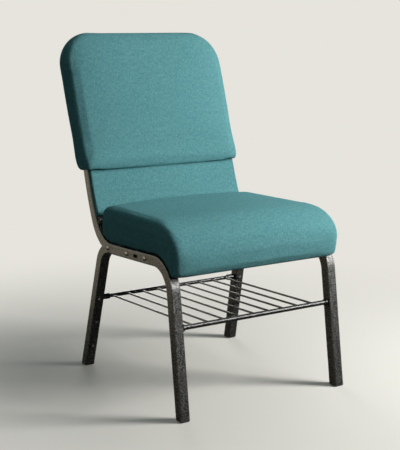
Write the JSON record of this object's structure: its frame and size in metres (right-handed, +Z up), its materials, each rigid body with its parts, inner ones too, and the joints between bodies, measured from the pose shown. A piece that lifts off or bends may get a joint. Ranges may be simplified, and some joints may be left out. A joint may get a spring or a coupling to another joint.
{
  "type": "stacking chair",
  "caption": "Stacking conference chair with a padded seat and back on a bent square-tube frame, and a wire book rack under the seat.",
  "frame": {"origin": "on the floor, under the middle of the whole chair", "axes": "+Z up, the chair faces -Y, its left side as seen from the front is -X"},
  "size_m": [0.4758, 0.628, 0.843],
  "materials": {
    "powder_coat": "dark charcoal powder coat with a fine speckle",
    "teal_fabric": "heathered teal weave, matt",
    "zinc_plate": "zinc plated, dulled",
    "black_plastic": "moulded, matt",
    "plywood": "raw plywood",
    "black_lining": "thin non-woven cloth"
  },
  "bodies": {
    "root": {"back_board": "plywood", "front_left_glide": "black_plastic", "front_right_glide": "black_plastic", "front_seat_cross_rail": "powder_coat", "left_front_rail_bolt": "zinc_plate", "left_front_seat_screw": "zinc_plate", "left_leg_plug_1": "black_plastic", "left_leg_plug_2": "black_plastic", "left_lower_back_board_screw": "zinc_plate", "left_lower_panel_screw": "zinc_plate", "left_middle_rail_bolt": "zinc_plate", "left_rack_set_screw": "zinc_plate", "left_rear_leg": "powder_coat", "left_rear_rail_bolt": "zinc_plate", "left_rear_seat_screw": "zinc_plate", "left_seat_bracket": "powder_coat", "left_side_tube": "powder_coat", "left_upper_back_board_screw": "zinc_plate", "lower_back_board": "black_plastic", "lower_back_cross_rail": "powder_coat", "lower_back_pad": "teal_fabric", "rack_front_left_collar": "powder_coat", "rack_front_rail": "powder_coat", "rack_front_right_collar": "powder_coat", "rack_rear_left_collar": "powder_coat", "rack_rear_rail": "powder_coat", "rack_rear_right_collar": "powder_coat", "rack_wire_1": "powder_coat", "rack_wire_2": "powder_coat", "rack_wire_3": "powder_coat", "rack_wire_4": "powder_coat", "rack_wire_5": "powder_coat", "rack_wire_6": "powder_coat", "rack_wire_7": "powder_coat", "rack_wire_8": "powder_coat", "rack_wire_9": "powder_coat", "rear_left_glide": "black_plastic", "rear_right_glide": "black_plastic", "rear_seat_cross_rail": "powder_coat", "right_front_rail_bolt": "zinc_plate", "right_front_seat_screw": "zinc_plate", "right_leg_plug_1": "black_plastic", "right_leg_plug_2": "black_plastic", "right_lower_back_board_screw": "zinc_plate", "right_lower_panel_screw": "zinc_plate", "right_middle_rail_bolt": "zinc_plate", "right_rack_set_screw": "zinc_plate", "right_rear_leg": "powder_coat", "right_rear_rail_bolt": "zinc_plate", "right_rear_seat_screw": "zinc_plate", "right_seat_bracket": "powder_coat", "right_side_tube": "powder_coat", "right_upper_back_board_screw": "zinc_plate", "seat_board": "plywood", "seat_cushion": "teal_fabric", "seat_underside_cover": "black_lining", "upper_back_cross_rail": "powder_coat", "upper_back_cushion": "teal_fabric"}
  },
  "joints": []
}
